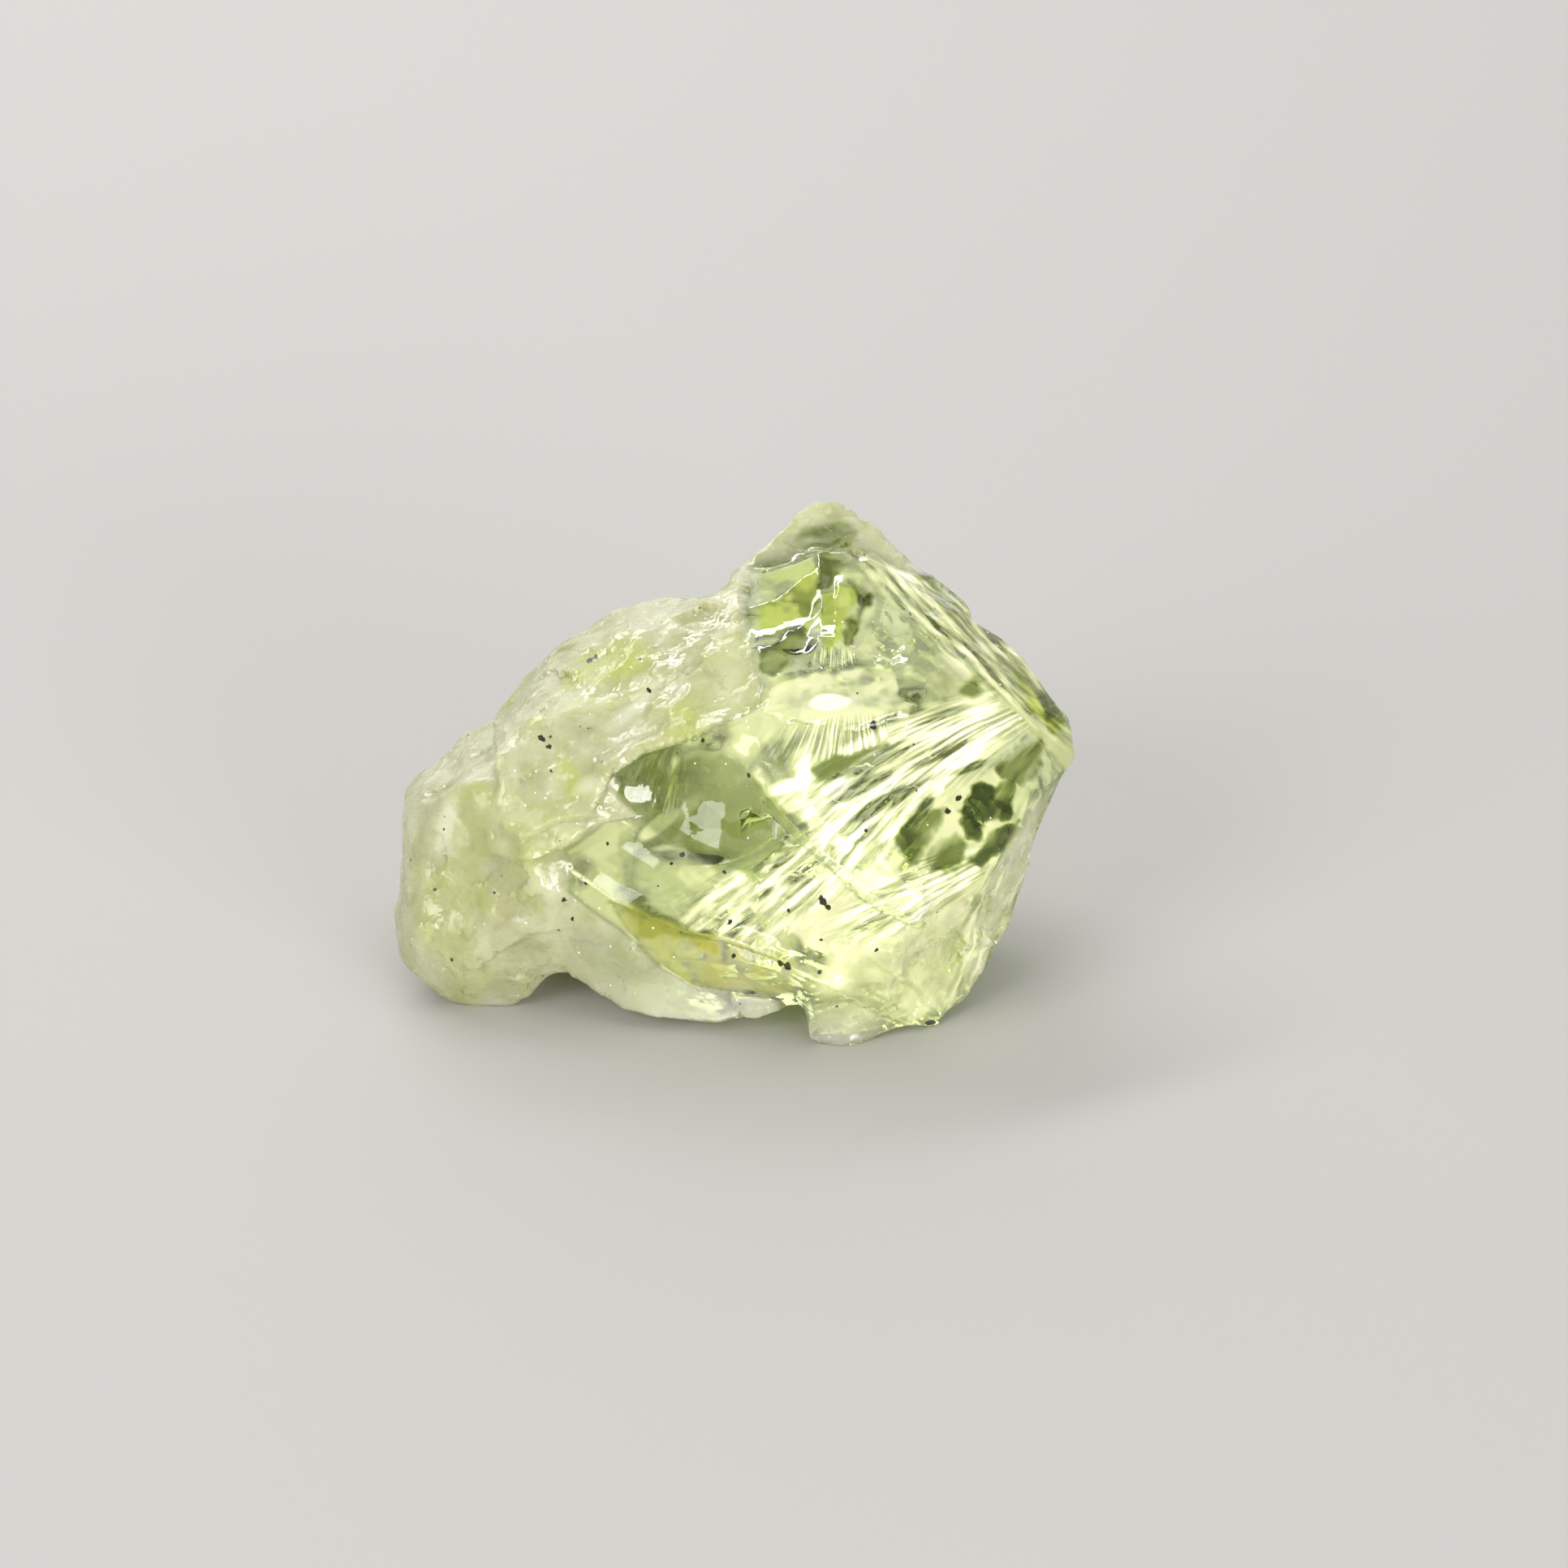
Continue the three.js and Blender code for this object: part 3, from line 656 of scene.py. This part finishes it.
# A painted highlight band along the front ridge, and a painted dark line just left of it.
painted_ridge_band = line_on(FRONT_RIDGE, 0.7)
painted_glow = painted_glow * (1 - painted_ridge_band) + 0.62 * painted_ridge_band
painted_glow *= 1 - 0.8 * np.clip(1 - np.abs(ridge_distance - 0.7) / 0.25, 0, 1) * left_of_ridge * front
painted_glow *= clear * (1 - painted_dark)

# White parts with painted highlights among them, and yellow stained parts.
white_and_glints = smooth_step(0.52, 0.72, Noise(62).rough(points, 2.6)) * 0.35
white_and_glints = np.maximum(white_and_glints, 0.7 * peak * smooth_step(0.50, 0.58, Noise(65).rough(points, 1.0, 3)))
for pixel, size, turn, strength in WHITE_AND_GLINT_PATCHES.values():
    white_and_glints = np.maximum(white_and_glints, strength * patch(pixel, size, turn, WHITE_SOFTNESS))
stain = 0.7 * outline(STAIN, 0.5, 0.8)
for *oval, strength in STAIN_SPOTS.values():
    stain = np.maximum(stain, strength * patch(*oval))
stain *= 0.35 + 0.65 * smooth_step(0.3, 0.65, Noise(63).rough(points, 1.5, 3))

# How far each point is from the edge of the nearest black grain.
grains = np.full(len(points), FAR_FROM_GRAINS)
for pixel, radius in GRAINS:
    a, u = at_pixel(*pixel)
    from_edge = np.hypot(across - a, up - u) - radius
    grains = np.where(front > 0.1, np.minimum(grains, from_edge), grains)

# Cracks inside the clear part, each a closed, thin and wavy gap.
skin = BVHTree.FromPolygons(points.tolist(), faces.tolist())


def inside_at(pixel, depth):
    """The point that shows at a pixel, at a depth in mm under the surface."""
    a, u = at_pixel(*pixel)
    eye = LUMP_CENTRE - AWAY * CAMERA_DISTANCE
    way = RIGHT * a + UP * u + AWAY * CAMERA_DISTANCE
    way /= np.linalg.norm(way)
    seen = np.array(skin.ray_cast(eye.tolist(), way.tolist())[0])
    return seen + way * depth


def crack_rim(middle, first, second, size, turn, wave):
    """Ragged spokes from a crack's middle, which stop short of the surface of the lump."""
    rim = []
    for t in np.linspace(0, 2 * math.pi, CRACK_SPOKES, endpoint=False):
        long, short = math.cos(t) * size[0], math.sin(t) * size[1]
        spoke = first * (long * math.cos(turn) - short * math.sin(turn))
        spoke += second * (long * math.sin(turn) + short * math.cos(turn))
        spoke *= 0.75 + 0.5 * wave(np.array([[math.cos(t) * 3, math.sin(t) * 3, 0.5]]))[0]
        length = np.linalg.norm(spoke)
        wall = skin.ray_cast(middle.tolist(), (spoke / length).tolist(), length * 1.3)[3]
        rim.append(spoke if wall is None else spoke * min(1, 0.75 * wall / length))
    return np.array(rim)


def crack(middle, way, size, turn, seed):
    """A wavy, ragged disc of air: its points and its faces, which look into the gap."""
    way = way / np.linalg.norm(way)
    first = np.cross(way, UP if abs(way @ UP) < 0.9 else RIGHT)
    first /= np.linalg.norm(first)
    second = np.cross(way, first)
    wave = Noise(seed)
    rim = crack_rim(middle, first, second, size, turn, wave)
    steps = np.sin(np.linspace(0, math.pi / 2, CRACK_RINGS + 1)[1:])
    flat = np.concatenate([middle + rim * step for step in steps])
    waves = CRACK_WAVE * (wave.rough(flat, CRACK_WAVE_SIZE, 3) - 0.5)
    half = np.repeat(np.sqrt(np.maximum(1 - steps**2, 0)), CRACK_SPOKES) * CRACK_GAP
    hub = middle + way * CRACK_WAVE * (wave.rough(middle[None], CRACK_WAVE_SIZE, 3)[0] - 0.5)
    inner = (CRACK_RINGS - 1) * CRACK_SPOKES
    over = flat + way * (waves + half)[:, None]
    under = flat[:inner] + way * (waves - half)[:inner, None]
    upper = 2 + np.arange(CRACK_RINGS * CRACK_SPOKES).reshape(CRACK_RINGS, CRACK_SPOKES)
    lower = 2 + upper.size + np.arange(inner).reshape(CRACK_RINGS - 1, CRACK_SPOKES)
    lower = np.vstack([lower, upper[-1:]])
    made = []
    for a in range(CRACK_SPOKES):
        b = (a + 1) % CRACK_SPOKES
        made += [(0, upper[0, b], upper[0, a]), (1, lower[0, a], lower[0, b])]
        for ring in range(CRACK_RINGS - 1):
            made += [(upper[ring, a], upper[ring, b], upper[ring + 1, b]),
                     (upper[ring, a], upper[ring + 1, b], upper[ring + 1, a]),
                     (lower[ring, a], lower[ring + 1, b], lower[ring, b]),
                     (lower[ring, a], lower[ring + 1, a], lower[ring + 1, b])]
    where = np.concatenate([[hub + way * CRACK_GAP, hub - way * CRACK_GAP], over, under])
    return where, np.array(made)


all_points, all_faces = [points], [faces]
for number, (pixel, depth, (right_part, up_part, away_part), size, turn) in enumerate(CRACKS.values()):
    way = RIGHT * right_part + UP * up_part + AWAY * away_part
    crack_points, crack_faces = crack(inside_at(pixel, depth), way, size, turn, 100 + number)
    all_faces.append(crack_faces + sum(len(part) for part in all_points))
    all_points.append(crack_points)
all_points = np.concatenate(all_points)
all_faces = np.concatenate(all_faces)

# The mesh, with what its material reads at each point.
stone_mesh = bpy.data.meshes.new("raw_prasiolite")
stone_mesh.from_pydata((all_points * MM).tolist(), [], all_faces.tolist())
stone_mesh.shade_smooth()
stone_mesh.set_sharp_from_angle(angle=SHARP_ANGLE)


def keep(name, values, in_cracks=0.0):
    """Keeps one number, or a row of three, for each point of the mesh, with another one for the cracks."""
    padded = np.full((len(all_points), *values.shape[1:]), in_cracks, dtype=np.float32)
    padded[:surface_count] = values
    kind, field = ("FLOAT", "value") if values.ndim == 1 else ("FLOAT_VECTOR", "vector")
    stone_mesh.attributes.new(name, kind, "POINT").data.foreach_set(field, padded.ravel())


keep("milk", milk)
keep("lime", lime)
keep("painted_dark", painted_dark)
# The painted glow: light caught inside the clear part, painted into its colour.
keep("painted_glow", painted_glow)
keep("white_and_glints", white_and_glints)
keep("stain", stain)
keep("frost", crumbly, 0.25)
keep("ridged", strongest)
keep("grains", grains, FAR_FROM_GRAINS)
keep("ridge_ways", ridge_ways)
stone = bpy.data.objects.new("raw_prasiolite", stone_mesh)
bpy.context.collection.objects.link(stone)

# The quartz's colours. The clear part runs through four tones as its painted glow rises from 0 to 1: the
# first is its own tint, the brighter ones are painted light.
MILKY_TONES = ((0.51, 0.50, 0.26), (0.67, 0.655, 0.43))
MILKY_LIME = (0.58, 0.64, 0.13)
# Milky white, which also paints the highlights.
MILKY_WHITE_AND_GLINT = (0.94, 0.93, 0.73)
CLEAR_AND_PAINTED_GLOW_TONES = [
    (0.0, (0.92, 0.97, 0.76)), (0.3, (0.82, 0.89, 0.48)), (0.6, (0.94, 0.96, 0.56)), (1.0, (1.0, 1.0, 0.84)),
]
CLEAR_LIME = (0.63, 0.73, 0.15)
# Painted dark greens: darkness seen through the clear quartz, painted into its colour.
PAINTED_SHADE_GREEN = (0.42, 0.52, 0.09)
PAINTED_DARK_GREEN = (0.07, 0.11, 0.01)
STAIN_YELLOW = (0.47, 0.44, 0.07)
WHITE_SPECK = (0.95, 0.95, 0.92)
BLACK_GRAIN = (0.03, 0.03, 0.01)

# How the quartz lets light through: its index of refraction, how far light goes in the milky part, and the
# colour and strength of what the clear part takes away from it.
REFRACTION = 1.544
MILKY_DEPTH = 1.3
MILKY_RADIUS = (1.0, 1.0, 0.6)
ABSORPTION = (0.78, 0.86, 0.34)
ABSORPTION_DENSITY = 28
BUMP_HEIGHT = 0.10


class Nodes:
    """Short ways to add shader nodes to a material."""

    def __init__(self, material):
        self.nodes = material.node_tree.nodes
        self.links = material.node_tree.links
        self.place = self.nodes.new("ShaderNodeTexCoord").outputs["Object"]

    def set(self, socket, value):
        if isinstance(value, (int, float)):
            socket.default_value = value
        elif isinstance(value, tuple):
            socket.default_value = (*value, 1)
        else:
            self.links.new(value, socket)

    def kept(self, name, output="Fac"):
        node = self.nodes.new("ShaderNodeAttribute")
        node.attribute_name = name
        return node.outputs[output]

    def math(self, operation, first, second):
        node = self.nodes.new("ShaderNodeMath")
        node.operation = operation
        self.set(node.inputs[0], first)
        self.set(node.inputs[1], second)
        return node.outputs[0]

    def greatest(self, first, *others):
        for other in others:
            first = self.math("MAXIMUM", first, other)
        return first

    def ramp(self, value, low, high, start=0.0, end=1.0):
        node = self.nodes.new("ShaderNodeMapRange")
        self.set(node.inputs["Value"], value)
        node.inputs["From Min"].default_value = start
        node.inputs["From Max"].default_value = end
        node.inputs["To Min"].default_value = low
        node.inputs["To Max"].default_value = high
        return node.outputs["Result"]

    def mix(self, factor, first, second):
        node = self.nodes.new("ShaderNodeMix")
        node.data_type = "RGBA"
        self.set(node.inputs["Factor"], factor)
        self.set(node.inputs[6], first)
        self.set(node.inputs[7], second)
        return node.outputs[2]

    def tones(self, value, stops):
        """A colour that runs through several tones, each given with its place from 0 to 1."""
        node = self.nodes.new("ShaderNodeValToRGB")
        self.set(node.inputs[0], value)
        elements = node.color_ramp.elements
        while len(elements) < len(stops):
            elements.new(0.5)
        for element, (place, tone) in zip(elements, stops):
            element.position = place
            element.color = (*tone, 1)
        return node.outputs[0]

    def noise(self, scale, detail=3.0, where=None):
        node = self.nodes.new("ShaderNodeTexNoise")
        node.inputs["Scale"].default_value = scale
        node.inputs["Detail"].default_value = detail
        self.set(node.inputs["Vector"], where or self.place)
        return node.outputs["Fac"]

    def specks(self, scale, size, share, detune=0.0):
        """1 in small round specks: how many of them lie in a metre, their size and the share that shows."""
        moved = self.nodes.new("ShaderNodeVectorMath")
        moved.operation = "ADD"
        self.set(moved.inputs[0], self.place)
        moved.inputs[1].default_value = (detune, detune, detune)
        node = self.nodes.new("ShaderNodeTexVoronoi")
        node.inputs["Scale"].default_value = scale
        self.set(node.inputs["Vector"], moved.outputs[0])
        tint = self.nodes.new("ShaderNodeSeparateColor")
        self.set(tint.inputs[0], node.outputs["Color"])
        near = self.ramp(node.outputs["Distance"], 1.0, 0.0, size * 0.5, size)
        return self.math("MULTIPLY", near, self.math("LESS_THAN", tint.outputs[0], share))


def quartz_colour(build, painted_glow_part, white_specks, black_specks):
    """Clear and milky colours, with painted glow, lime, painted dark green, white parts and painted
    highlights, stained parts and the specks on top.
    """
    cloud = build.ramp(build.noise(330, 4.0), 0, 1, 0.38, 0.62)
    milky_colour = build.mix(cloud, *MILKY_TONES)
    milky_colour = build.mix(build.kept("lime"), milky_colour, MILKY_LIME)
    milky_colour = build.mix(build.kept("white_and_glints"), milky_colour, MILKY_WHITE_AND_GLINT)
    painted_dark_part = build.kept("painted_dark")
    clear_colour = build.tones(painted_glow_part, CLEAR_AND_PAINTED_GLOW_TONES)
    clear_colour = build.mix(build.kept("lime"), clear_colour, CLEAR_LIME)
    clear_colour = build.mix(build.ramp(painted_dark_part, 0.0, 1.0, 0.0, 0.5), clear_colour, PAINTED_SHADE_GREEN)
    clear_colour = build.mix(build.ramp(painted_dark_part, 0.0, 1.0, 0.3, 1.0), clear_colour, PAINTED_DARK_GREEN)
    colour = build.mix(build.kept("milk"), clear_colour, milky_colour)
    colour = build.mix(build.kept("stain"), colour, STAIN_YELLOW)
    colour = build.mix(white_specks, colour, WHITE_SPECK)
    return build.mix(black_specks, colour, BLACK_GRAIN)


def quartz():
    material = bpy.data.materials.new("prasiolite")
    material.use_nodes = True
    build = Nodes(material)
    shader = build.nodes["Principled BSDF"]
    shader.inputs["IOR"].default_value = REFRACTION
    shader.inputs["Subsurface Radius"].default_value = MILKY_RADIUS
    shader.inputs["Subsurface Scale"].default_value = MILKY_DEPTH * MM
    shader.inputs["Subsurface Weight"].default_value = 1.0
    milky = build.kept("milk")

    # Painted highlight lines run with the ridges of the clear part.
    ridges = build.noise(2.2, 3.0, build.kept("ridge_ways", "Vector"))
    painted_ridge_highlights = build.math("MULTIPLY", build.ramp(ridges, -0.45, 0.45, 0.35, 0.65), build.kept("ridged"))
    painted_glow_part = build.math("ADD", build.kept("painted_glow"), painted_ridge_highlights)
    painted_glow_part = build.math("MINIMUM", build.math("MAXIMUM", painted_glow_part, 0.0), 1.0)
    painted_glow_part = build.math("MULTIPLY", painted_glow_part, build.math("SUBTRACT", 1.0, build.kept("painted_dark")))

    # White and black specks.
    white_specks = build.specks(1300, 0.14, 0.16)
    ragged_edge = build.math("ADD", build.kept("grains"), build.ramp(build.noise(3500, 1.0), -0.15, 0.15))
    large_grains = build.ramp(ragged_edge, 1.0, 0.0, 0.0, 0.05)
    black_specks = build.greatest(build.specks(700, 0.10, 0.25, 0.3), large_grains)
    build.set(shader.inputs["Base Color"], quartz_colour(build, painted_glow_part, white_specks, black_specks))

    # How far light goes through: not where the quartz is milky, carries painted glow or is stained, nor at a
    # speck.
    solid_part = build.greatest(
        build.math("MULTIPLY", milky, 0.62), painted_glow_part, build.math("MULTIPLY", build.kept("stain"), 0.9))
    spots = build.greatest(white_specks, black_specks)
    through = build.math("SUBTRACT", build.ramp(solid_part, 1.0, 0.03, 0.0, 0.8), spots)
    build.set(shader.inputs["Transmission Weight"], build.greatest(through, 0.0))
    waxy_gloss = build.ramp(build.noise(600, 3.0), 0.06, 0.42, 0.35, 0.65)
    frosted = build.ramp(build.kept("frost"), 0.015, 0.2)
    rough = build.math("ADD", build.math("MULTIPLY", milky, waxy_gloss), frosted)
    build.set(shader.inputs["Roughness"], rough)

    # Fine ridges, and the grain and folds of the milky side.
    height = build.math("MULTIPLY", ridges, build.ramp(build.kept("ridged"), 0.0, 0.5))
    grain = build.math("MULTIPLY", build.noise(1100, 4.0), build.ramp(milky, 0.004, 0.7))
    fold = build.math("ABSOLUTE", build.math("SUBTRACT", build.noise(420, 3.0), 0.5), 0.0)
    grain = build.math("ADD", grain, build.math("MULTIPLY", fold, build.ramp(milky, 0.0, 4.0)))
    bump = build.nodes.new("ShaderNodeBump")
    bump.inputs["Strength"].default_value = 1.0
    bump.inputs["Distance"].default_value = BUMP_HEIGHT * MM
    build.set(bump.inputs["Height"], build.math("ADD", height, grain))
    build.set(shader.inputs["Normal"], bump.outputs["Normal"])

    green = build.nodes.new("ShaderNodeVolumeAbsorption")
    green.inputs["Color"].default_value = (*ABSORPTION, 1)
    green.inputs["Density"].default_value = ABSORPTION_DENSITY
    build.set(build.nodes["Material Output"].inputs["Volume"], green.outputs["Volume"])
    return material


stone_mesh.materials.append(quartz())
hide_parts("prasiolite")
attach(stone, "root")

# The studio: a pale floor, soft lights given by place, width and height, and power, and a pale sky.
FLOOR_SIZE = 3.0
FLOOR_COLOUR = (0.50, 0.49, 0.475, 1)
FLOOR_ROUGHNESS = 0.8
LIGHTS = {
    "back_light": ((-0.05, 0.60, 0.25), (0.80, 0.40), 1.2),
    "back_strip": ((-0.20, 0.30, 0.40), (0.50, 0.06), 1.1),
    "top_light": ((0.10, -0.05, 0.60), (0.45, 0.45), 0.8),
    "front_light": ((-0.38, -0.50, 0.34), (0.35, 0.35), 2.15),
    "side_light": ((0.32, -0.56, 0.12), (0.34, 0.18), 2.6),
}
LIGHT_AIM = Vector((0, 0, 0.012))
SKY_COLOUR = (1.0, 1.0, 0.96, 1)
SKY_STRENGTH = 0.47

floor_mesh = bpy.data.meshes.new("floor")
half = FLOOR_SIZE / 2
floor_corners = [(-half, -half, 0), (half, -half, 0), (half, half, 0), (-half, half, 0)]
floor_mesh.from_pydata(floor_corners, [], [(0, 1, 2, 3)])
floor = bpy.data.objects.new("floor", floor_mesh)
bpy.context.collection.objects.link(floor)
paper = bpy.data.materials.new("pale_floor")
paper.use_nodes = True
paper_shader = paper.node_tree.nodes["Principled BSDF"]
paper_shader.inputs["Base Color"].default_value = FLOOR_COLOUR
paper_shader.inputs["Roughness"].default_value = FLOOR_ROUGHNESS
floor_mesh.materials.append(paper)

for name, (place, size, power) in LIGHTS.items():
    light = bpy.data.lights.new(name, "AREA")
    light.shape = "RECTANGLE"
    light.size, light.size_y = size
    light.energy = power
    box = bpy.data.objects.new(name, light)
    bpy.context.collection.objects.link(box)
    box.location = place
    box.rotation_euler = (LIGHT_AIM - Vector(place)).to_track_quat("-Z", "Y").to_euler()

bpy.context.scene.view_settings.view_transform = "Standard"
world = bpy.data.worlds.new("studio")
bpy.context.scene.world = world
world.use_nodes = True
world.node_tree.nodes["Background"].inputs["Color"].default_value = SKY_COLOUR
world.node_tree.nodes["Background"].inputs["Strength"].default_value = SKY_STRENGTH

# The camera looks at the lump as the photograph does.
lens = bpy.data.cameras.new("camera")
lens.sensor_width = SENSOR
lens.lens = SENSOR * CAMERA_DISTANCE * PIXELS_PER_MM / IMAGE_SIZE
lens.clip_start = 0.01
camera = bpy.data.objects.new("camera", lens)
bpy.context.collection.objects.link(camera)
middle_right, middle_up = at_pixel(IMAGE_SIZE / 2, IMAGE_SIZE / 2)
aim = LUMP_CENTRE + RIGHT * middle_right + UP * middle_up
camera.location = (aim - AWAY * CAMERA_DISTANCE) * MM
camera.rotation_euler = (math.pi / 2 - DISPLAY_TILT, 0, 0)
bpy.context.scene.camera = camera

bpy.context.view_layer.update()
